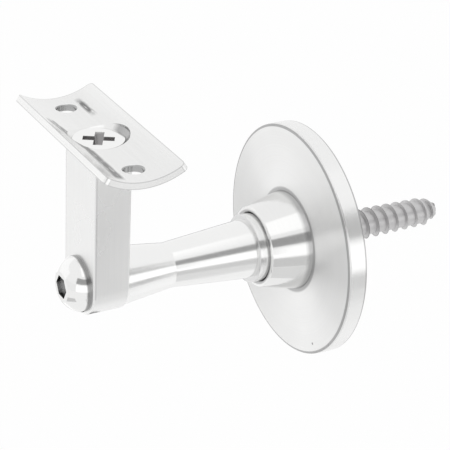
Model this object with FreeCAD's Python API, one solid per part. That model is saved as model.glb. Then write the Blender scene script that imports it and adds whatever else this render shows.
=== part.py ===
import FreeCAD, Part
import math
import os

# Handrail bracket: a wall plate with a collar, a waisted arm, an upright post
# and a curved saddle for a round rail. All sizes are in millimetres.
#
# X runs along the rail, -Y points out into the room and +Z is up.
# The origin is the centre of the wall plate's back face, on the arm's axis.

# Wall plate, a thick turned disc
plate_diameter = 70.0
plate_thickness = 6.0
plate_front_round = 0.8
plate_back_chamfer = 0.4

# Collar, a tapered ring that holds the arm's end against the plate
collar_length = 12.0
collar_foot_diameter = 30.0
collar_front_diameter = 24.0
collar_front_round = 0.4
collar_socket_depth = 6.0
collar_mouth_chamfer = 0.3

# Arm, turned from one bar: two straight cones that meet at a waist
arm_outer_end_from_wall = 63.0
arm_outer_end_diameter = 17.2
arm_waist_diameter = 13.2
arm_waist_from_outer_end = 16.5
arm_flare_diameter = 17.6
arm_band_diameter = 20.4
arm_band_length = 3.0
arm_band_round = 0.3
arm_edge_chamfer = 0.4

# Post, a flat bar with a rounded lower end
post_width = 20.0
post_thickness = 11.0
post_end_below_axis = 9.0
post_edge_round = 0.5

# Saddle, a curved strip that carries the rail
rail_diameter = 42.4
rail_seat_above_axis = 44.0
saddle_length = 60.0
saddle_strip_width = 25.0
saddle_thickness = 2.0
saddle_corner_round = 1.5
rail_screw_hole_diameter = 5.5
rail_screw_from_end = 8.0
rail_screw_hole_chamfer = 0.25

# Screw through the post into the arm: button head, M10
post_screw_thread = 10.0
post_screw_length = 20.0
post_screw_head_diameter = 16.4
post_screw_head_height = 5.5
post_screw_head_flat_diameter = 9.0
post_screw_head_rim = 0.7
post_screw_dome_radius = 8.0
post_screw_socket_width = 6.0
post_screw_socket_depth = 3.3

# Screw through the saddle into the post: countersunk with a cross recess, M8
saddle_screw_thread = 8.0
saddle_screw_length = 20.0
saddle_screw_head_diameter = 14.5
saddle_screw_head_rim = 0.3
saddle_screw_head_below_seat = 0.1
countersink_diameter = 17.3
cross_recess_span = 8.8
cross_recess_width = 2.6
cross_recess_depth = 3.4
cross_recess_side_angle = 13.0
cross_recess_turn = 61.0

# Hanger bolt, M10: a machine thread into the arm and a wood thread into the wall
hanger_bolt_thread = 10.0
hanger_bolt_length = 80.0
hanger_bolt_into_wall = 46.0
hanger_bolt_neck_into_plate = 3.0
wood_thread_diameter = 9.5
wood_thread_root_diameter = 7.2
wood_thread_pitch = 3.5
wood_thread_crest_width = 0.25
wood_thread_flank_angle = 25.0
wood_thread_from_wall = 5.0
wood_thread_run_out = 1.5
wood_thread_start = 2.8
wood_thread_start_turn = 40.0
wood_tip_length = 4.5
wood_tip_thread_diameter = 3.8
wood_tip_diameter = 2.8

# Fits: radial play of a plain hole, a threaded hole and the arm in its socket
bolt_hole_play = 0.5
thread_play = 0.05
socket_play = 0.2
screw_end_chamfer = 1.0
drill_spare_depth = 3.0
drill_point_angle = 118.0

# Stations along the arm's axis, from the wall into the room
plate_front_y = -plate_thickness
collar_front_y = plate_front_y - collar_length
arm_seat_y = collar_front_y + collar_socket_depth
arm_band_y = collar_front_y - arm_band_length
post_back_y = -arm_outer_end_from_wall
arm_waist_y = post_back_y + arm_waist_from_outer_end
post_front_y = post_back_y - post_thickness
post_middle_y = (post_back_y + post_front_y) / 2
hanger_bolt_inner_y = hanger_bolt_into_wall - hanger_bolt_length

# Heights and radii of the rail seat
seat_radius = rail_diameter / 2
saddle_back_radius = seat_radius + saddle_thickness
rail_axis_z = rail_seat_above_axis + seat_radius
post_top_z = rail_seat_above_axis - saddle_thickness
post_blank_top_z = post_top_z + post_thickness / 2
rail_screw_spacing = saddle_length - 2 * rail_screw_from_end


def vec(x, y, z):
    return FreeCAD.Vector(x, y, z)


# Closed outline through corners given as (across, along, round);
# a round of 0 leaves the corner sharp, any other is a tangent arc.
def outline(corners, place):
    count = len(corners)
    starts = []
    ends = []
    arcs = []
    for i in range(count):
        here = place(*corners[i][:2])
        before = place(*corners[i - 1][:2])
        after = place(*corners[(i + 1) % count][:2])
        radius = corners[i][2]
        if radius == 0:
            starts.append(here)
            ends.append(here)
            arcs.append(None)
            continue
        back = (before - here).normalize()
        ahead = (after - here).normalize()
        half = back.getAngle(ahead) / 2
        middle = (back + ahead).normalize()
        start = here + back * (radius / math.tan(half))
        end = here + ahead * (radius / math.tan(half))
        crown = here + middle * (radius / math.sin(half) - radius)
        starts.append(start)
        ends.append(end)
        arcs.append(Part.Arc(start, crown, end).toShape())
    edges = []
    for i in range(count):
        if arcs[i] is not None:
            edges.append(arcs[i])
        edges.append(Part.makeLine(ends[i], starts[(i + 1) % count]))
    return Part.Wire(edges)


# Solid turned about the arm's axis, from (radius, y, round) corners
def turned_about_y(corners):
    wire = outline(corners, lambda radius, y: vec(radius, y, 0))
    return Part.Face(wire).revolve(vec(0, 0, 0), vec(0, 1, 0), 360)


# Solid turned about a vertical line at the given y, from (radius, z, round) corners
def turned_about_z(corners, y):
    wire = outline(corners, lambda radius, z: vec(radius, y, z))
    return Part.Face(wire).revolve(vec(0, y, 0), vec(0, 0, 1), 360)


# Length of the cone that a drill leaves at the bottom of a hole
def drill_point(radius):
    return radius / math.tan(math.radians(drill_point_angle / 2))


# Hexagonal socket cutter with a conical bottom; it starts at the mouth and goes along the direction
def hex_socket(mouth, direction, width, depth):
    corner_step = 2 * math.pi / 6
    corner_radius = width / 2 / math.cos(corner_step / 2)
    points = []
    for i in range(7):
        angle = corner_step * i
        points.append(vec(corner_radius * math.cos(angle), corner_radius * math.sin(angle), 0))
    prism = Part.Face(Part.makePolygon(points)).extrude(vec(0, 0, depth))
    point = Part.makeCone(width / 2, 0, drill_point(width / 2), vec(0, 0, depth), vec(0, 0, 1))
    cutter = prism.fuse(point)
    cutter.Placement = FreeCAD.Placement(mouth, FreeCAD.Rotation(vec(0, 0, 1), direction))
    return cutter


# Cross recess cutter: two crossed bars that taper downwards; it starts at the mouth and goes down
def cross_recess(mouth):
    taper = 2 * cross_recess_depth * math.tan(math.radians(cross_recess_side_angle))
    bars = []
    for turn in (cross_recess_turn, cross_recess_turn + 90):
        sections = []
        for depth, narrowing in ((0, 0), (cross_recess_depth, taper)):
            x = (cross_recess_span - narrowing) / 2
            y = (cross_recess_width - narrowing / 2) / 2
            corners = [vec(-x, -y, -depth), vec(x, -y, -depth), vec(x, y, -depth), vec(-x, y, -depth)]
            sections.append(Part.makePolygon(corners + corners[:1]))
        bar = Part.makeLoft(sections, True, True)
        bar.rotate(vec(0, 0, 0), vec(0, 0, 1), turn)
        bars.append(bar)
    cutter = bars[0].fuse(bars[1])
    cutter.translate(mouth)
    return cutter


def wall_plate():
    outer = plate_diameter / 2
    hole = hanger_bolt_thread / 2 + bolt_hole_play
    return turned_about_y([
        (hole, 0, 0),
        (hole, plate_front_y, 0),
        (outer, plate_front_y, plate_front_round),
        (outer, -plate_back_chamfer, 0),
        (outer - plate_back_chamfer, 0, 0),
    ])


def collar():
    foot = collar_foot_diameter / 2
    front = collar_front_diameter / 2
    socket = arm_band_diameter / 2 + socket_play
    hole = hanger_bolt_thread / 2 + bolt_hole_play
    return turned_about_y([
        (hole, plate_front_y, 0),
        (hole, arm_seat_y, 0),
        (socket, arm_seat_y, 0),
        (socket, collar_front_y + collar_mouth_chamfer, 0),
        (socket + collar_mouth_chamfer, collar_front_y, 0),
        (front, collar_front_y, collar_front_round),
        (foot, plate_front_y, 0),
    ])


def arm():
    outer_end = arm_outer_end_diameter / 2
    waist = arm_waist_diameter / 2
    flare = arm_flare_diameter / 2
    band = arm_band_diameter / 2
    post_bore = post_screw_thread / 2
    wall_bore = hanger_bolt_thread / 2
    post_bore_end = post_front_y + post_screw_length + drill_spare_depth
    wall_bore_end = hanger_bolt_inner_y - drill_spare_depth
    return turned_about_y([
        (0, post_bore_end + drill_point(post_bore), 0),
        (post_bore, post_bore_end, 0),
        (post_bore, post_back_y, 0),
        (outer_end - arm_edge_chamfer, post_back_y, 0),
        (outer_end, post_back_y + arm_edge_chamfer, 0),
        (waist, arm_waist_y, 0),
        (flare, arm_band_y, 0),
        (band, arm_band_y, arm_band_round),
        (band, arm_seat_y - arm_edge_chamfer, 0),
        (band - arm_edge_chamfer, arm_seat_y, 0),
        (wall_bore, arm_seat_y, 0),
        (wall_bore, wall_bore_end, 0),
        (0, wall_bore_end - drill_point(wall_bore), 0),
    ])


def post():
    half = post_width / 2
    end_centre_z = half - post_end_below_axis
    left = Part.makeLine(vec(-half, post_front_y, post_blank_top_z), vec(-half, post_front_y, end_centre_z))
    low = Part.Arc(
        vec(-half, post_front_y, end_centre_z),
        vec(0, post_front_y, -post_end_below_axis),
        vec(half, post_front_y, end_centre_z),
    ).toShape()
    right = Part.makeLine(vec(half, post_front_y, end_centre_z), vec(half, post_front_y, post_blank_top_z))
    top = Part.makeLine(vec(half, post_front_y, post_blank_top_z), vec(-half, post_front_y, post_blank_top_z))
    bar = Part.Face(Part.Wire([left, low, right, top])).extrude(vec(0, post_thickness, 0))

    # The long edges of both flat faces are rounded, down one side, round the end and up the other
    long_edges = []
    for edge in bar.Edges:
        middle_y = edge.CenterOfMass.y
        on_flat_face = abs(middle_y - post_middle_y) > post_thickness / 2 - 0.001
        if on_flat_face and edge.CenterOfMass.z < post_blank_top_z - 0.001:
            long_edges.append(edge)
    bar = bar.makeFillet(post_edge_round, long_edges)

    # The top is milled to the curve of the saddle's underside
    rail_side = Part.makeCylinder(
        saddle_back_radius, post_width, vec(-half, post_middle_y, rail_axis_z), vec(1, 0, 0)
    )
    bar = bar.cut(rail_side)

    # Plain hole for the screw into the arm
    hole = Part.makeCylinder(
        post_screw_thread / 2 + bolt_hole_play, post_thickness, vec(0, post_front_y, 0), vec(0, 1, 0)
    )
    bar = bar.cut(hole)

    # Threaded hole for the saddle's screw, with the seat of its head
    bore = saddle_screw_thread / 2
    head_top_z = rail_seat_above_axis - saddle_screw_head_below_seat
    bore_end_z = head_top_z - saddle_screw_length - drill_spare_depth
    drilled = turned_about_z([
        (0, bore_end_z - drill_point(bore), 0),
        (bore, bore_end_z, 0),
        (bore, post_blank_top_z, 0),
        (0, post_blank_top_z, 0),
    ], post_middle_y)
    return bar.cut(drilled).cut(countersink())


# Cutter for the countersunk head: a right-angled cone that goes on, straight, through the seat
def countersink():
    head = saddle_screw_head_diameter / 2
    shank = saddle_screw_thread / 2
    mouth = countersink_diameter / 2
    rim_low_z = rail_seat_above_axis - saddle_screw_head_below_seat - saddle_screw_head_rim
    return turned_about_z([
        (0, rim_low_z - (head - shank), 0),
        (shank, rim_low_z - (head - shank), 0),
        (mouth, rim_low_z + mouth - head, 0),
        (mouth, rail_axis_z, 0),
        (0, rail_axis_z, 0),
    ], post_middle_y)


def rail_saddle():
    middle_radius = seat_radius + saddle_thickness / 2
    half_angle = saddle_strip_width / 2 / middle_radius

    def on_arc(radius, angle):
        x = -saddle_length / 2
        return vec(x, post_middle_y + radius * math.sin(angle), rail_axis_z - radius * math.cos(angle))

    inner = Part.Arc(
        on_arc(seat_radius, -half_angle), on_arc(seat_radius, 0), on_arc(seat_radius, half_angle)
    ).toShape()
    outer = Part.Arc(
        on_arc(saddle_back_radius, half_angle),
        on_arc(saddle_back_radius, 0),
        on_arc(saddle_back_radius, -half_angle),
    ).toShape()
    wall_edge = Part.makeLine(on_arc(seat_radius, half_angle), on_arc(saddle_back_radius, half_angle))
    room_edge = Part.makeLine(on_arc(saddle_back_radius, -half_angle), on_arc(seat_radius, -half_angle))
    strip = Part.Face(Part.Wire([inner, wall_edge, outer, room_edge])).extrude(vec(saddle_length, 0, 0))

    # The four corners of the strip are rounded
    corner_edges = []
    for edge in strip.Edges:
        at_end = abs(abs(edge.CenterOfMass.x) - saddle_length / 2) < 0.001
        if at_end and abs(edge.Length - saddle_thickness) < 0.001:
            corner_edges.append(edge)
    strip = strip.makeFillet(saddle_corner_round, corner_edges)

    # Two holes for the screws into the rail, each with a chamfered mouth on the rail's side
    hole_radius = rail_screw_hole_diameter / 2
    for side in (-1, 1):
        x = side * rail_screw_spacing / 2
        drill = Part.makeCylinder(
            hole_radius, rail_axis_z - post_top_z, vec(x, post_middle_y, rail_axis_z), vec(0, 0, -1)
        )
        mouth = Part.makeCone(
            hole_radius,
            hole_radius + rail_screw_hole_chamfer * 2,
            rail_screw_hole_chamfer * 2,
            vec(x, post_middle_y, rail_seat_above_axis - rail_screw_hole_chamfer),
        )
        strip = strip.cut(drill).cut(mouth)
    return strip.cut(countersink())


def saddle_screw():
    head = saddle_screw_head_diameter / 2
    shank = saddle_screw_thread / 2 - thread_play
    head_top_z = rail_seat_above_axis - saddle_screw_head_below_seat
    rim_low_z = head_top_z - saddle_screw_head_rim
    end_z = head_top_z - saddle_screw_length
    blank = turned_about_z([
        (0, end_z, 0),
        (shank - screw_end_chamfer, end_z, 0),
        (shank, end_z + screw_end_chamfer, 0),
        (shank, rim_low_z - (head - shank), 0),
        (head, rim_low_z, 0),
        (head, head_top_z, 0),
        (0, head_top_z, 0),
    ], post_middle_y)
    return blank.cut(cross_recess(vec(0, post_middle_y, head_top_z)))


def post_screw():
    rim = post_screw_head_diameter / 2
    flat = post_screw_head_flat_diameter / 2
    shank = post_screw_thread / 2 - thread_play
    rim_y = post_front_y - post_screw_head_rim
    front_y = post_front_y - post_screw_head_height
    end_y = post_front_y + post_screw_length

    # The dome is an arc of the given radius from the rim to the flat round the socket
    chord = math.hypot(rim - flat, front_y - rim_y)
    rise = post_screw_dome_radius - math.sqrt(post_screw_dome_radius ** 2 - chord ** 2 / 4)
    crown_x = (rim + flat) / 2 + rise * (rim_y - front_y) / chord
    crown_y = (rim_y + front_y) / 2 - rise * (rim - flat) / chord
    dome = Part.Arc(vec(rim, rim_y, 0), vec(crown_x, crown_y, 0), vec(flat, front_y, 0)).toShape()
    straight = [
        vec(flat, front_y, 0),
        vec(0, front_y, 0),
        vec(0, end_y, 0),
        vec(shank - screw_end_chamfer, end_y, 0),
        vec(shank, end_y - screw_end_chamfer, 0),
        vec(shank, post_front_y, 0),
        vec(rim, post_front_y, 0),
        vec(rim, rim_y, 0),
    ]
    edges = [dome]
    for start, end in zip(straight, straight[1:]):
        edges.append(Part.makeLine(start, end))
    blank = Part.Face(Part.Wire(edges)).revolve(vec(0, 0, 0), vec(0, 1, 0), 360)
    mouth = vec(0, front_y, 0)
    return blank.cut(hex_socket(mouth, vec(0, 1, 0), post_screw_socket_width, post_screw_socket_depth))


# Ridge of the wood thread: a pointed section that follows a right-handed helix from inside the neck
# to past the tip, then is turned down to the crest and to the taper at the tip
def wood_thread_ridge():
    crest = wood_thread_diameter / 2
    root = wood_thread_root_diameter / 2
    foot = wood_tip_diameter / 2
    tip_y = hanger_bolt_into_wall
    taper_y = tip_y - wood_tip_length
    slope = math.tan(math.radians(wood_thread_flank_angle))
    point = crest + wood_thread_crest_width / 2 / slope
    half = (point - foot) * slope
    corners = [vec(foot, 0, -half), vec(point, 0, 0), vec(foot, 0, half)]
    section = Part.makePolygon(corners + corners[:1])
    helix = Part.makeLongHelix(wood_thread_pitch, tip_y + wood_thread_pitch - wood_thread_start, root)
    ridge = Part.Wire(helix.Edges).makePipeShell([section], True, True)
    ridge.rotate(vec(0, 0, 0), vec(1, 0, 0), -90)
    ridge.rotate(vec(0, 0, 0), vec(0, 1, 0), wood_thread_start_turn)
    ridge.translate(vec(0, wood_thread_start, 0))
    return ridge.common(turned_about_y([
        (0, wood_thread_start, 0),
        (crest, wood_thread_start, 0),
        (crest, taper_y, 0),
        (wood_tip_thread_diameter / 2, tip_y, 0),
        (0, tip_y, 0),
    ]))


def hanger_bolt():
    machine = hanger_bolt_thread / 2 - thread_play
    neck = wood_thread_diameter / 2
    root = wood_thread_root_diameter / 2
    tip = wood_tip_diameter / 2
    tip_y = hanger_bolt_into_wall
    core = turned_about_y([
        (0, hanger_bolt_inner_y, 0),
        (machine - screw_end_chamfer, hanger_bolt_inner_y, 0),
        (machine, hanger_bolt_inner_y + screw_end_chamfer, 0),
        (machine, -hanger_bolt_neck_into_plate, 0),
        (neck, -hanger_bolt_neck_into_plate, 0),
        (neck, wood_thread_from_wall, 0),
        (root, wood_thread_from_wall + wood_thread_run_out, 0),
        (root, tip_y - wood_tip_length, 0),
        (tip, tip_y, 0),
        (0, tip_y, 0),
    ])
    return core.fuse(wood_thread_ridge())


nodes = {
    "wall_plate": wall_plate,
    "collar": collar,
    "arm": arm,
    "post": post,
    "rail_saddle": rail_saddle,
    "post_screw": post_screw,
    "saddle_screw": saddle_screw,
    "hanger_bolt": hanger_bolt,
}

os.makedirs("parts", exist_ok=True)
for name, make in nodes.items():
    shape = make()
    if shape.ShapeType != "Solid" and len(shape.Solids) == 1:
        shape = shape.Solids[0]
    if shape.Volume < 0:
        shape.reverse()
    shape.exportStep("parts/" + name + ".step")
    box = shape.BoundBox
    print(
        name, "solids", len(shape.Solids), "valid", shape.isValid(), "volume", round(shape.Volume, 1),
        "box", [round(v, 2) for v in (box.XMin, box.YMin, box.ZMin, box.XMax, box.YMax, box.ZMax)],
    )
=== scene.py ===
import math

import bpy
from mathutils import Matrix, Vector

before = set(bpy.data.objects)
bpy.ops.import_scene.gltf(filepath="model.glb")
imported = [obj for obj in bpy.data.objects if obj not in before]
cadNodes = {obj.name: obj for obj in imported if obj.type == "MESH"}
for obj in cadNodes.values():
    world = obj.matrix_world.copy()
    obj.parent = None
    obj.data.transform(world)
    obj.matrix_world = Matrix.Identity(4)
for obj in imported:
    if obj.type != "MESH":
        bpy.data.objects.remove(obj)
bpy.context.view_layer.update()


# Camera

cameraView = {
    "azimuth": 60.746,        # degrees round the bracket, 0 looks along +Y
    "elevation": 26.790,
    "roll": 2.680,
    "distance": 0.54483,      # from the aim point
    "aim": (0.00453, -0.03024, 0.01177),
    "lens": 151.35,
    "sensor": 36.0,
    "clip": (0.01, 50.0),
}


def makeCamera(look):
    turn = math.radians(look["azimuth"])
    rise = math.radians(look["elevation"])
    roll = math.radians(look["roll"])
    back = Vector((math.sin(turn) * math.cos(rise), -math.cos(turn) * math.cos(rise), math.sin(rise)))
    level = Vector((math.cos(turn), math.sin(turn), 0))
    upright = back.cross(level)
    right = level * math.cos(roll) + upright * math.sin(roll)
    up = upright * math.cos(roll) - level * math.sin(roll)
    bpy.ops.object.camera_add()
    camera = bpy.context.object
    camera.name = "photoCamera"
    camera.data.lens = look["lens"]
    camera.data.sensor_width = look["sensor"]
    camera.data.clip_start, camera.data.clip_end = look["clip"]
    turned = Matrix((right, up, back)).transposed().to_4x4()
    camera.matrix_world = Matrix.Translation(Vector(look["aim"]) + back * look["distance"]) @ turned
    bpy.context.scene.camera = camera


makeCamera(cameraView)
bpy.context.scene.view_settings.view_transform = "Standard"
print("camera placed")


# Node tools

def newMaterial(name):
    material = bpy.data.materials.new(name)
    material.use_nodes = True
    material.node_tree.nodes.clear()
    return material


def addNode(tree, kind, settings=None, inputs=None):
    node = tree.nodes.new(kind)
    for key, value in (settings or {}).items():
        setattr(node, key, value)
    for key, value in (inputs or {}).items():
        if isinstance(value, bpy.types.NodeSocket):
            tree.links.new(value, node.inputs[key])
        else:
            node.inputs[key].default_value = value
    return node


def newGroup(name, inputs, outputs):
    group = bpy.data.node_groups.new(name, "ShaderNodeTree")
    for label, (kind, value) in inputs.items():
        socket = group.interface.new_socket(label, in_out="INPUT", socket_type=kind)
        if value is not None:
            socket.default_value = value
    for label, kind in outputs.items():
        group.interface.new_socket(label, in_out="OUTPUT", socket_type=kind)
    return group, addNode(group, "NodeGroupInput").outputs, addNode(group, "NodeGroupOutput").inputs


def mathOf(tree, operation, *values):
    return addNode(tree, "ShaderNodeMath", {"operation": operation}, dict(enumerate(values))).outputs[0]


# A value taken from one range to another and held at its ends
def rescale(tree, value, fromRange, toRange=(0.0, 1.0)):
    return addNode(tree, "ShaderNodeMapRange", {}, {
        "Value": value, "From Min": fromRange[0], "From Max": fromRange[1],
        "To Min": toRange[0], "To Max": toRange[1],
    }).outputs[0]


# 1 above the edge and 0 below it, with a soft step
def above(tree, value, edge, soft):
    return rescale(tree, value, (edge - soft, edge + soft))


# 1 below the edge and 0 above it, with a soft step
def below(tree, value, edge, soft):
    return rescale(tree, value, (edge + soft, edge - soft))


def between(tree, value, low, high, soft):
    return mathOf(tree, "MULTIPLY", above(tree, value, low, soft), below(tree, value, high, soft))


def partsOf(tree, vector):
    return addNode(tree, "ShaderNodeSeparateXYZ", {}, {0: vector}).outputs


def lengthOf(tree, first, second):
    flat = addNode(tree, "ShaderNodeCombineXYZ", {}, {"X": first, "Y": second})
    length = addNode(tree, "ShaderNodeVectorMath", {"operation": "LENGTH"}, {0: flat.outputs[0]})
    return length.outputs["Value"]


# The place on a turned piece: along the Y axis, and outwards from it
def turnedPlace(tree, vector):
    x, y, z = partsOf(tree, vector)
    return y, lengthOf(tree, x, z)


# A Mix node has its sockets by number: 0 is the share, 6 and 7 are the colours, 2 is the mixed colour
def mixColours(tree, share, first, second):
    return addNode(tree, "ShaderNodeMix", {"data_type": "RGBA"}, {0: share, 6: first, 7: second}).outputs[2]


# Here 2 and 3 are the numbers, and 0 is the mixed number
def mixNumbers(tree, share, first, second):
    return addNode(tree, "ShaderNodeMix", {"data_type": "FLOAT"}, {0: share, 2: first, 3: second}).outputs[0]


# Lines left in the steel

lineLook = {
    "detail": 3.0,
    "roughness": 0.6,
    "bumpDistance": 0.0001,
    "patchesPerMetre": 60.0,    # large soft patches that vary the gloss
    "patchDetail": 2.0,
    "patchRange": (0.3, 0.7),   # patch noise at the smoothest and at the roughest places
    "glossTurn": 0.25,          # part of a full turn, on turned faces
}
lineInputs = {
    "Vector": ("NodeSocketVector", None),
    "Lines Per Metre": ("NodeSocketFloat", 3000.0),
    "Depth": ("NodeSocketFloat", 0.1),
}
acrossInput = {"Lines Across": ("NodeSocketVector", (1, 1, 0.01))}
lineOutputs = {"Shade": "NodeSocketFloat", "Patches": "NodeSocketFloat", "Normal": "NodeSocketVector"}


def addLines(group, given, result, place):
    lines = addNode(group, "ShaderNodeTexNoise", {}, {
        "Vector": place, "Scale": given["Lines Per Metre"],
        "Detail": lineLook["detail"], "Roughness": lineLook["roughness"],
    })
    patches = addNode(group, "ShaderNodeTexNoise", {}, {
        "Vector": given["Vector"], "Scale": lineLook["patchesPerMetre"], "Detail": lineLook["patchDetail"],
    })
    bump = addNode(group, "ShaderNodeBump", {}, {
        "Strength": given["Depth"], "Distance": lineLook["bumpDistance"], "Height": lines.outputs["Fac"],
    })
    group.links.new(lines.outputs["Fac"], result["Shade"])
    group.links.new(patches.outputs["Fac"], result["Patches"])
    group.links.new(bump.outputs["Normal"], result["Normal"])


# Grinding along one direction: the noise is stretched along it
def makeGroundLines():
    group, given, result = newGroup("groundLines", {**lineInputs, **acrossInput}, lineOutputs)
    squeezed = addNode(group, "ShaderNodeVectorMath", {"operation": "MULTIPLY"}, {
        0: given["Vector"], 1: given["Lines Across"],
    })
    addLines(group, given, result, squeezed.outputs[0])
    return group


# Turning: the noise is the same for every angle round the Y axis
def makeTurnedLines():
    group, given, result = newGroup("turnedLines", lineInputs, lineOutputs)
    y, radius = turnedPlace(group, given["Vector"])
    ring = addNode(group, "ShaderNodeCombineXYZ", {}, {"X": radius, "Y": y})
    addLines(group, given, result, ring.outputs[0])
    return group


groundLines = makeGroundLines()
turnedLines = makeTurnedLines()


# A piece gets a steel of its own. Its marks are masks, from 0 to 1, that bring in a colour or a
# roughness from the piece's dictionary. They lie at fixed places on the piece.
def finishPiece(nodeName, steelName, look, colourMarks=None, roughnessMarks=None):
    material = newMaterial(steelName)
    tree = material.node_tree
    place = addNode(tree, "ShaderNodeTexCoord").outputs["Object"]
    turned = look["lines"] == "turned"
    lines = addNode(tree, "ShaderNodeGroup", {"node_tree": turnedLines if turned else groundLines}, {
        "Vector": place, "Lines Per Metre": look["perMetre"], "Depth": look["depth"],
    })
    if not turned:
        lines.inputs["Lines Across"].default_value = look["across"]
    colour = mixColours(tree, lines.outputs["Shade"], (*look["dark"], 1), (*look["light"], 1))
    for key, mask in (colourMarks or {}).items():
        colour = mixColours(tree, mask(tree, place, look), colour, (*look[key], 1))
    roughness = rescale(tree, lines.outputs["Patches"], lineLook["patchRange"], look["roughness"])
    for key, mask in (roughnessMarks or {}).items():
        roughness = mixNumbers(tree, mask(tree, place, look), roughness, look[key])
    shader = addNode(tree, "ShaderNodeBsdfPrincipled", {}, {
        "Base Color": colour, "Metallic": 1.0, "Roughness": roughness,
        "Normal": lines.outputs["Normal"], "Anisotropic": look["anisotropic"],
    })
    if turned:
        tangent = addNode(tree, "ShaderNodeTangent", {"direction_type": "RADIAL", "axis": "Y"})
        tree.links.new(tangent.outputs[0], shader.inputs["Tangent"])
        shader.inputs["Anisotropic Rotation"].default_value = lineLook["glossTurn"]
    addNode(tree, "ShaderNodeOutputMaterial", {}, {"Surface": shader.outputs[0]})
    cadNodes[nodeName].data.materials.clear()
    cadNodes[nodeName].data.materials.append(material)


# Wall plate, face-turned

plateLook = {
    "lines": "turned",
    "perMetre": 2600.0,
    "depth": 0.10,
    "dark": (0.845, 0.845, 0.84),
    "light": (0.905, 0.905, 0.90),
    "roughness": (0.38, 0.44),
    "anisotropic": 0.95,
    "speckAt": (0.0177, -0.006, -0.0265),
    "speckRadius": 0.00035,
    "speckSoft": 0.0001,
    "speckColour": (0.25, 0.24, 0.24),
    "collarShadeRadius": (0.0140, 0.0160),   # painted shade: dark line round the collar's foot
    "collarShadeY": -0.0055,
    "collarShadeSoft": 0.0003,
    "collarShadeColour": (0.50, 0.50, 0.50),
    "edgeRadius": 0.0341,              # painted shade: grey lines along the front edge and the back edge
    "edgeSoft": 0.0001,
    "frontEdgeY": -0.00568,
    "frontEdgeSoft": 0.00005,
    "backEdgeY": -0.0006,
    "edgeShadeColour": (0.46, 0.46, 0.46),
    "rimRadius": 0.0345,               # the rim is turned finer than the face
    "rimY": (-0.0052, -0.0004),
    "rimSoft": 0.0001,
    "rimRoughness": 0.27,
}


def speckOnPlate(tree, place, look):
    away = addNode(tree, "ShaderNodeVectorMath", {"operation": "DISTANCE"}, {0: place, 1: look["speckAt"]})
    return below(tree, away.outputs["Value"], look["speckRadius"], look["speckSoft"])


# Painted shade on the plate, in the corner round the collar's foot
def shadeRoundCollarFoot(tree, place, look):
    y, radius = turnedPlace(tree, place)
    ring = between(tree, radius, *look["collarShadeRadius"], look["collarShadeSoft"])
    return mathOf(tree, "MULTIPLY", ring, mathOf(tree, "LESS_THAN", y, look["collarShadeY"]))


# Painted shade along the plate's front and back edges
def shadeAlongPlateEdges(tree, place, look):
    y, radius = turnedPlace(tree, place)
    outer = above(tree, radius, look["edgeRadius"], look["edgeSoft"])
    front = below(tree, y, look["frontEdgeY"], look["frontEdgeSoft"])
    back = above(tree, y, look["backEdgeY"], look["edgeSoft"])
    return mathOf(tree, "MULTIPLY", outer, mathOf(tree, "MAXIMUM", front, back))


def rimOfPlate(tree, place, look):
    y, radius = turnedPlace(tree, place)
    outer = mathOf(tree, "GREATER_THAN", radius, look["rimRadius"])
    return mathOf(tree, "MULTIPLY", outer, between(tree, y, *look["rimY"], look["rimSoft"]))


finishPiece("wall_plate", "turnedSteel", plateLook, {
    "speckColour": speckOnPlate,
    "collarShadeColour": shadeRoundCollarFoot,
    "edgeShadeColour": shadeAlongPlateEdges,
}, {"rimRoughness": rimOfPlate})


# Collar, turned and polished

collarLook = {
    "lines": "turned",
    "perMetre": 5000.0,
    "depth": 0.04,
    "dark": (0.80, 0.80, 0.795),
    "light": (0.855, 0.855, 0.85),
    "roughness": (0.10, 0.16),
    "anisotropic": 0.4,
    "mouthRadius": 0.0112,     # painted shade: inner part of the front, round the arm
    "mouthY": -0.0170,
    "mouthSoft": 0.0002,
    "mouthShadeColour": (0.45, 0.45, 0.45),
    "footY": -0.0076,         # shade in the corner between collar and plate
    "footSoft": 0.0006,
    "footColour": (0.52, 0.52, 0.52),
}


# Painted shade inside the collar's mouth, round the arm
def shadeInCollarMouth(tree, place, look):
    y, radius = turnedPlace(tree, place)
    inner = below(tree, radius, look["mouthRadius"], look["mouthSoft"])
    return mathOf(tree, "MULTIPLY", inner, mathOf(tree, "LESS_THAN", y, look["mouthY"]))


def footOfCollar(tree, place, look):
    return above(tree, partsOf(tree, place)["Y"], look["footY"], look["footSoft"])


finishPiece("collar", "collarSteel", collarLook, {"mouthShadeColour": shadeInCollarMouth, "footColour": footOfCollar})


# Arm, turned and polished

armLook = {
    "lines": "turned",
    "perMetre": 5000.0,
    "depth": 0.04,
    "dark": (0.85, 0.85, 0.845),
    "light": (0.90, 0.90, 0.895),
    "roughness": (0.15, 0.21),
    "anisotropic": 0.4,
    "stepRadius": 0.00885,    # painted shade on the narrow face between the cone and the band
    "stepY": (-0.0214, -0.0207),
    "stepSoft": 0.00005,
    "stepShadeColour": (0.70, 0.70, 0.70),
}


# Painted shade on the narrow step face of the arm
def shadeOnArmStep(tree, place, look):
    y, radius = turnedPlace(tree, place)
    outer = mathOf(tree, "GREATER_THAN", radius, look["stepRadius"])
    return mathOf(tree, "MULTIPLY", outer, between(tree, y, *look["stepY"], look["stepSoft"]))


finishPiece("arm", "armSteel", armLook, {"stepShadeColour": shadeOnArmStep})


# Post, ground along its length

postLook = {
    "lines": "ground",
    "across": (1, 1, 0.02),
    "perMetre": 2200.0,
    "depth": 0.08,
    "dark": (0.835, 0.835, 0.83),
    "light": (0.895, 0.895, 0.89),
    "roughness": (0.24, 0.34),
    "anisotropic": 0.0,
    "edgeY": -0.0732,         # painted shade: grey lines along the two front edges
    "leftEdgeX": -0.0091,
    "edgeSoft": 0.0001,
    "rightEdgeX": 0.00985,
    "rightEdgeSoft": 0.00005,
    "edgeShadeColour": (0.74, 0.74, 0.74),
}


# Painted shade along the post's two front edges
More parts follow.
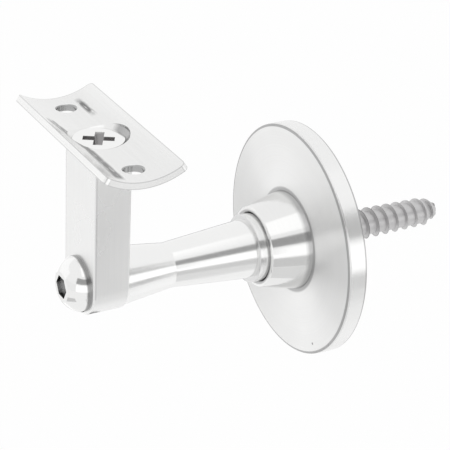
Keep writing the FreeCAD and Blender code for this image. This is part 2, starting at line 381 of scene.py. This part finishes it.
def shadeAlongPostEdges(tree, place, look):
    parts = partsOf(tree, place)
    left = below(tree, parts["X"], look["leftEdgeX"], look["edgeSoft"])
    right = above(tree, parts["X"], look["rightEdgeX"], look["rightEdgeSoft"])
    front = below(tree, parts["Y"], look["edgeY"], look["edgeSoft"])
    return mathOf(tree, "MULTIPLY", front, mathOf(tree, "MAXIMUM", left, right))


finishPiece("post", "postSteel", postLook, {"edgeShadeColour": shadeAlongPostEdges})


# Rail saddle, ground along its length

saddleLook = {
    "lines": "ground",
    "across": (0.02, 1, 1),
    "perMetre": 2200.0,
    "depth": 0.06,
    "dark": (0.785, 0.785, 0.78),
    "light": (0.86, 0.86, 0.855),
    "roughness": (0.18, 0.28),
    "anisotropic": 0.0,
    "screwY": -0.0685,
    "railAxisZ": 0.0652,
    "seatRadius": 0.0212,
    "backRadius": 0.0232,
    "cutPastSeat": 0.00006,         # painted shade on the cut faces of the holes, from just under the seat
    "cutRadius": 0.0231,
    "cutSoft": 0.00002,
    "countersinkRadius": 0.0100,
    "shadeTowards": (0.40, 0.92),   # the countersink's painted shade lies on this side only
    "shadeFrom": 0.6,
    "shadeSoft": 0.1,
    "railHoleRadius": 0.0032,
    "railHoleX": 0.022,
    "cutShadeColour": (0.42, 0.42, 0.42),
    "reflectionPastSeat": 0.00005,         # painted reflection lines lie on the seat alone
    "reflectionX": (-0.0125, 0.0275),      # long painted reflection line near the outer edge
    "reflectionY": (-0.0777, -0.0751),
    "reflectionBend": 0.009,
    "reflectionWidth": (0.0009, 0.0013),
    "reflectionEndSoft": 0.001,
    "reflectionSideSoft": 0.4,             # in widths of the line
    "strokeX": (-0.0245, -0.0150),
    "strokeY": (-0.0643, -0.0628),
    "strokeEndSoft": 0.002,
    "strokeSideSoft": 0.0004,
    "breakupPerMetre": 1600.0,    # break up the painted reflection lines
    "breakupDetail": 2.0,
    "breakupSqueeze": (0.18, 1, 1),
    "breakupFrom": 0.36,
    "breakupSoft": 0.10,
    # painted reflection lines on the seat
    "seatReflectionColour": (0.20, 0.20, 0.20),
    "halfLength": 0.030,            # outline of the strip
    "halfTurn": 0.5631,             # radians round the rail
    "cornerRound": 0.0015,
    "edgeWidth": 0.00022,
    "edgeSoft": 0.00008,
    # painted shade along the edges of the strip
    "edgeShadeColour": (0.62, 0.62, 0.62),
}


# Painted shade on the cut faces of the countersink, on one side, and of the two rail screw holes
def shadeInSaddleCuts(tree, place, look):
    x, y, z = partsOf(tree, place)
    fromY = mathOf(tree, "SUBTRACT", y, look["screwY"])
    radius = lengthOf(tree, fromY, mathOf(tree, "SUBTRACT", z, look["railAxisZ"]))
    cutTop = look["seatRadius"] + look["cutPastSeat"]
    under = between(tree, radius, cutTop, look["cutRadius"], look["cutSoft"])
    fromScrew = lengthOf(tree, x, fromY)
    towardsX, towardsY = look["shadeTowards"]
    alongX = mathOf(tree, "MULTIPLY", x, towardsX)
    alongY = mathOf(tree, "MULTIPLY", fromY, towardsY)
    side = mathOf(tree, "DIVIDE", mathOf(tree, "ADD", alongX, alongY), fromScrew)
    shaded = above(tree, side, look["shadeFrom"], look["shadeSoft"])
    inCountersink = mathOf(tree, "LESS_THAN", fromScrew, look["countersinkRadius"])
    countersink = mathOf(tree, "MULTIPLY", inCountersink, shaded)
    fromHole = mathOf(tree, "SUBTRACT", mathOf(tree, "ABSOLUTE", x), look["railHoleX"])
    railHoles = mathOf(tree, "LESS_THAN", lengthOf(tree, fromHole, fromY), look["railHoleRadius"])
    return mathOf(tree, "MULTIPLY", under, mathOf(tree, "MAXIMUM", countersink, railHoles))


# Painted reflection on the seat: a long dark line and a short stroke
def reflectionLinesOnSeat(tree, place, look):
    x, y, z = partsOf(tree, place)
    fromY = mathOf(tree, "SUBTRACT", y, look["screwY"])
    radius = lengthOf(tree, fromY, mathOf(tree, "SUBTRACT", z, look["railAxisZ"]))
    seat = mathOf(tree, "LESS_THAN", radius, look["seatRadius"] + look["reflectionPastSeat"])
    lineY = rescale(tree, x, (look["reflectionX"][0], look["reflectionBend"]), look["reflectionY"])
    width = rescale(tree, x, look["reflectionX"], look["reflectionWidth"])
    aside = mathOf(tree, "DIVIDE", mathOf(tree, "SUBTRACT", y, lineY), width)
    lineLength = between(tree, x, *look["reflectionX"], look["reflectionEndSoft"])
    lineWidth = between(tree, aside, -1.0, 1.0, look["reflectionSideSoft"])   # one width to each side
    line = mathOf(tree, "MULTIPLY", lineLength, lineWidth)
    strokeLength = between(tree, x, *look["strokeX"], look["strokeEndSoft"])
    strokeWidth = between(tree, y, *look["strokeY"], look["strokeSideSoft"])
    stroke = mathOf(tree, "MULTIPLY", strokeLength, strokeWidth)
    squeezed = addNode(tree, "ShaderNodeVectorMath", {"operation": "MULTIPLY"}, {
        0: place, 1: look["breakupSqueeze"],
    })
    breakup = addNode(tree, "ShaderNodeTexNoise", {}, {
        "Vector": squeezed.outputs[0], "Scale": look["breakupPerMetre"], "Detail": look["breakupDetail"],
    })
    unbroken = above(tree, breakup.outputs["Fac"], look["breakupFrom"], look["breakupSoft"])
    marked = mathOf(tree, "MULTIPLY", seat, mathOf(tree, "MAXIMUM", line, stroke))
    return mathOf(tree, "MULTIPLY", marked, unbroken)


# Painted shade along all sharp edges of the strip, as thin lines on both faces that meet there
def shadeAlongSaddleEdges(tree, place, look):
    x, y, z = partsOf(tree, place)
    fromY = mathOf(tree, "SUBTRACT", y, look["screwY"])
    fromAxis = mathOf(tree, "SUBTRACT", look["railAxisZ"], z)
    radius = lengthOf(tree, fromY, fromAxis)
    turn = mathOf(tree, "ABSOLUTE", mathOf(tree, "ARCTAN2", fromY, fromAxis))
    corner = look["cornerRound"]
    fromEnd = mathOf(tree, "SUBTRACT", mathOf(tree, "ABSOLUTE", x), look["halfLength"])
    fromSide = mathOf(tree, "MULTIPLY", mathOf(tree, "SUBTRACT", turn, look["halfTurn"]), radius)
    pastEnd = mathOf(tree, "MAXIMUM", mathOf(tree, "ADD", fromEnd, corner), 0.0)
    pastSide = mathOf(tree, "MAXIMUM", mathOf(tree, "ADD", fromSide, corner), 0.0)
    fromOutline = mathOf(tree, "SUBTRACT", corner, lengthOf(tree, pastEnd, pastSide))
    middle = (look["seatRadius"] + look["backRadius"]) / 2
    fromMiddle = mathOf(tree, "ABSOLUTE", mathOf(tree, "SUBTRACT", radius, middle))
    fromFace = mathOf(tree, "SUBTRACT", look["backRadius"] - middle, fromMiddle)
    inside = mathOf(tree, "MAXIMUM", fromOutline, fromFace)
    return below(tree, inside, look["edgeWidth"], look["edgeSoft"])


finishPiece("rail_saddle", "saddleSteel", saddleLook, {
    "cutShadeColour": shadeInSaddleCuts,
    "seatReflectionColour": reflectionLinesOnSeat,
    "edgeShadeColour": shadeAlongSaddleEdges,
})


# Post screw, bright

postScrewLook = {
    "lines": "ground",
    "across": (1, 1, 1),      # the same in every direction
    "perMetre": 4000.0,
    "depth": 0.02,
    "dark": (0.82, 0.82, 0.815),
    "light": (0.88, 0.88, 0.875),
    "roughness": (0.08, 0.14),
    "anisotropic": 0.0,
    "rimRadius": 0.0070,      # painted shade on the edge of the button head next to the post
    "rimY": (-0.0750, -0.0730),
    "rimSoft": 0.0002,
    "rimShadeColour": (0.34, 0.34, 0.34),
    # painted shade in the hexagonal socket
    "socketRadius": 0.0037,
    "socketY": -0.07945,
    "socketShadeColour": (0.52, 0.52, 0.52),
}


# Painted shade on the head's edge next to the post
def shadeAtPostScrewRim(tree, place, look):
    y, radius = turnedPlace(tree, place)
    outer = mathOf(tree, "GREATER_THAN", radius, look["rimRadius"])
    return mathOf(tree, "MULTIPLY", outer, between(tree, y, *look["rimY"], look["rimSoft"]))


# Painted shade inside the hexagonal socket
def shadeInPostScrewSocket(tree, place, look):
    y, radius = turnedPlace(tree, place)
    inner = mathOf(tree, "LESS_THAN", radius, look["socketRadius"])
    return mathOf(tree, "MULTIPLY", inner, mathOf(tree, "GREATER_THAN", y, look["socketY"]))


finishPiece("post_screw", "postScrewSteel", postScrewLook, {
    "rimShadeColour": shadeAtPostScrewRim,
    "socketShadeColour": shadeInPostScrewSocket,
})


# Saddle screw, bright

saddleScrewLook = {
    "lines": "ground",
    "across": (1, 1, 1),      # the same in every direction
    "perMetre": 4000.0,
    "depth": 0.02,
    "dark": (0.86, 0.86, 0.855),
    "light": (0.92, 0.92, 0.915),
    "roughness": (0.08, 0.14),
    "anisotropic": 0.0,
    "screwY": -0.0685,
    # painted shade in the cross recess
    "recessRadius": 0.0048,
    "recessZ": 0.04385,
    "recessShadeColour": (0.55, 0.545, 0.545),
}


# Painted shade inside the cross recess
def shadeInSaddleScrewRecess(tree, place, look):
    x, y, z = partsOf(tree, place)
    fromScrew = lengthOf(tree, x, mathOf(tree, "SUBTRACT", y, look["screwY"]))
    inner = mathOf(tree, "LESS_THAN", fromScrew, look["recessRadius"])
    return mathOf(tree, "MULTIPLY", inner, mathOf(tree, "LESS_THAN", z, look["recessZ"]))


finishPiece("saddle_screw", "saddleScrewSteel", saddleScrewLook, {"recessShadeColour": shadeInSaddleScrewRecess})


# Hanger bolt, plain grey

boltLook = {
    "lines": "ground",
    "across": (1, 1, 1),      # the same in every direction
    "perMetre": 1500.0,
    "depth": 0.25,
    "dark": (0.51, 0.505, 0.51),
    "light": (0.65, 0.645, 0.645),
    "roughness": (0.38, 0.5),
    "anisotropic": 0.0,
    "crestRadius": 0.00455,   # painted shade on the crests of the wood thread
    "crestY": 0.004,
    "crestSoft": 0.0001,
    "crestShadeColour": (0.26, 0.255, 0.26),
}


# Painted shade on the crests of the wood thread
def shadeOnBoltCrests(tree, place, look):
    y, radius = turnedPlace(tree, place)
    outer = above(tree, radius, look["crestRadius"], look["crestSoft"])
    return mathOf(tree, "MULTIPLY", outer, mathOf(tree, "GREATER_THAN", y, look["crestY"]))


finishPiece("hanger_bolt", "boltSteel", boltLook, {"crestShadeColour": shadeOnBoltCrests})
print("steel finishes made")


# Studio

studio = {
    "floorHeight": -0.30,
    "floorRadius": 3.0,
    "floorSides": 128,
    "floorColour": (0.90, 0.90, 0.90),
    "floorRoughness": 0.7,
    "floorWhiteShare": 0.92,   # how far the floor goes to plain white for the plain rays
    "worldStrength": 0.985,
    "cardSteps": 48,
}
white = (1, 1, 1, 1)

# Panels and flags round the bracket that its faces show as reflections. Each is spun round from one
# edge, between two points given as distance from the upright axis and degrees above the horizon;
# round is in degrees from +X towards +Y. A tone near 1 or over it is a light panel, a low one is a
# dark flag. They don't show to the camera, light no matt face and cast no shadow.
studioCards = {
    "sidePanel": {"round": (-60, 62), "low": (1.00, -11), "high": (1.00, 13), "tone": 1.25},
    "frontPanel": {"round": (-105, -60), "low": (1.00, -11), "high": (1.00, 13), "tone": 0.95},
    "sideFlag": {"round": (-62, 36), "low": (1.02, 17), "high": (1.02, 38), "tone": 0.37},
    "roomPanel": {"round": (-178, -108), "low": (1.04, -2), "high": (1.04, 34), "tone": 1.12},
    "floorFlag": {"round": (-25, 31), "low": (0.37, -37), "high": (0.37, -13), "tone": 0.67},
    "rimFlag": {"round": (25, 30), "low": (0.36, -24), "high": (0.36, -11.5), "tone": 0.12},
    "rimSideFlag": {"round": (26.5, 32.5), "low": (0.36, 18), "high": (0.36, 33), "tone": 0.12},
    "rimTopFlag": {"round": (28, 37), "low": (0.36, 33), "high": (0.36, 41), "tone": 0.15},
    "underFlag": {"round": (-30, 31), "low": (0.09, -72), "high": (0.37, -38), "tone": 0.80},
    "frontFlag": {"round": (-125, -70), "low": (0.28, -45), "high": (0.40, -34), "tone": 0.65},
    "backFlag": {"round": (120, 180), "low": (0.34, -40), "high": (0.34, -12), "tone": 0.15},
    "saddlePanel": {"round": (-36, -9), "low": (0.10, -1), "high": (0.10, 14), "tone": 0.98},
    "armFlag": {"round": (-119, -88), "low": (0.068, -33.5), "high": (0.068, -7.5), "tone": 0.12},
    "wallPanel": {"round": (34, 105), "low": (0.10, -68), "high": (0.30, -40), "tone": 1.05},
    "leftPanel": {"round": (-178, -150), "low": (0.20, -27), "high": (0.20, -9), "tone": 1.15},
    "lowPanel": {"round": (-178, -138), "low": (0.20, -54), "high": (0.46, -29.5), "tone": 1.15},
}

overheadLamp = {"round": -15, "rise": 68, "distance": 1.1, "size": 0.75, "tone": 0.2}


def deselectAll():
    for item in bpy.context.selected_objects:
        item.select_set(False)


# Rays that show the plain background: those of the camera, and those that metal and glass send on
def plainRays(tree):
    path = addNode(tree, "ShaderNodeLightPath")
    shown = mathOf(tree, "MAXIMUM", path.outputs["Is Camera Ray"], path.outputs["Is Glossy Ray"])
    return mathOf(tree, "MAXIMUM", shown, path.outputs["Is Transmission Ray"])


def makeFloor(values):
    deselectAll()
    bpy.ops.mesh.primitive_circle_add(
        vertices=values["floorSides"], radius=values["floorRadius"], fill_type="NGON",
        location=(0, 0, values["floorHeight"]),
    )
    floor = bpy.context.object
    floor.name = "studioFloor"
    material = newMaterial("paleFloor")
    tree = material.node_tree
    matt = addNode(tree, "ShaderNodeBsdfPrincipled", {}, {
        "Base Color": (*values["floorColour"], 1), "Roughness": values["floorRoughness"],
    })
    plain = addNode(tree, "ShaderNodeEmission", {}, {"Color": white, "Strength": 1.0})
    share = mathOf(tree, "MULTIPLY", plainRays(tree), values["floorWhiteShare"])
    mix = addNode(tree, "ShaderNodeMixShader", {}, {0: share, 1: matt.outputs[0], 2: plain.outputs[0]})
    addNode(tree, "ShaderNodeOutputMaterial", {}, {"Surface": mix.outputs[0]})
    floor.data.materials.append(material)


def makeWorld(values):
    world = bpy.data.worlds.new("paleStudio")
    world.use_nodes = True
    tree = world.node_tree
    tree.nodes.clear()
    light = addNode(tree, "ShaderNodeBackground", {}, {"Color": white, "Strength": values["worldStrength"]})
    plain = addNode(tree, "ShaderNodeBackground", {}, {"Color": white, "Strength": 1.0})
    mix = addNode(tree, "ShaderNodeMixShader", {}, {
        0: plainRays(tree), 1: light.outputs[0], 2: plain.outputs[0],
    })
    addNode(tree, "ShaderNodeOutputWorld", {}, {"Surface": mix.outputs[0]})
    bpy.context.scene.world = world


def cardCorner(turn, distance, rise):
    height = distance * math.tan(math.radians(rise))
    return Vector((distance * math.cos(turn), distance * math.sin(turn), height))


# A plane shrunk to one point, drawn out to an edge and spun part of the way round the bracket
def makeCard(name, card):
    start, end = (math.radians(angle) for angle in card["round"])
    low = cardCorner(start, *card["low"])
    high = cardCorner(start, *card["high"])
    deselectAll()
    bpy.ops.mesh.primitive_plane_add()
    bpy.ops.object.mode_set(mode="EDIT")
    bpy.ops.mesh.merge(type="CENTER")
    bpy.ops.transform.translate(value=low)
    bpy.ops.mesh.extrude_region_move(TRANSFORM_OT_translate={"value": high - low})
    bpy.ops.mesh.select_all(action="SELECT")
    bpy.ops.mesh.spin(steps=studio["cardSteps"], angle=start - end, center=(0, 0, 0), axis=(0, 0, 1))
    bpy.ops.object.mode_set(mode="OBJECT")
    panel = bpy.context.object
    panel.name = name
    material = newMaterial(name)
    tree = material.node_tree
    glow = addNode(tree, "ShaderNodeEmission", {}, {"Color": white, "Strength": card["tone"]})
    addNode(tree, "ShaderNodeOutputMaterial", {}, {"Surface": glow.outputs[0]})
    panel.data.materials.append(material)
    panel.visible_camera = False
    panel.visible_diffuse = False
    panel.visible_shadow = False


def makeLamp(lamp):
    turn = math.radians(lamp["round"])
    rise = math.radians(lamp["rise"])
    away = Vector((math.cos(turn) * math.cos(rise), math.sin(turn) * math.cos(rise), math.sin(rise)))
    bpy.ops.object.light_add(type="AREA", location=away * lamp["distance"])
    light = bpy.context.object
    light.name = "overheadLamp"
    light.rotation_euler = away.to_track_quat("Z", "Y").to_euler()
    light.data.size = lamp["size"]
    light.data.energy = lamp["tone"] * math.pi * lamp["size"] ** 2


makeFloor(studio)
makeWorld(studio)
for name, card in studioCards.items():
    makeCard(name, card)
makeLamp(overheadLamp)
print("studio made")
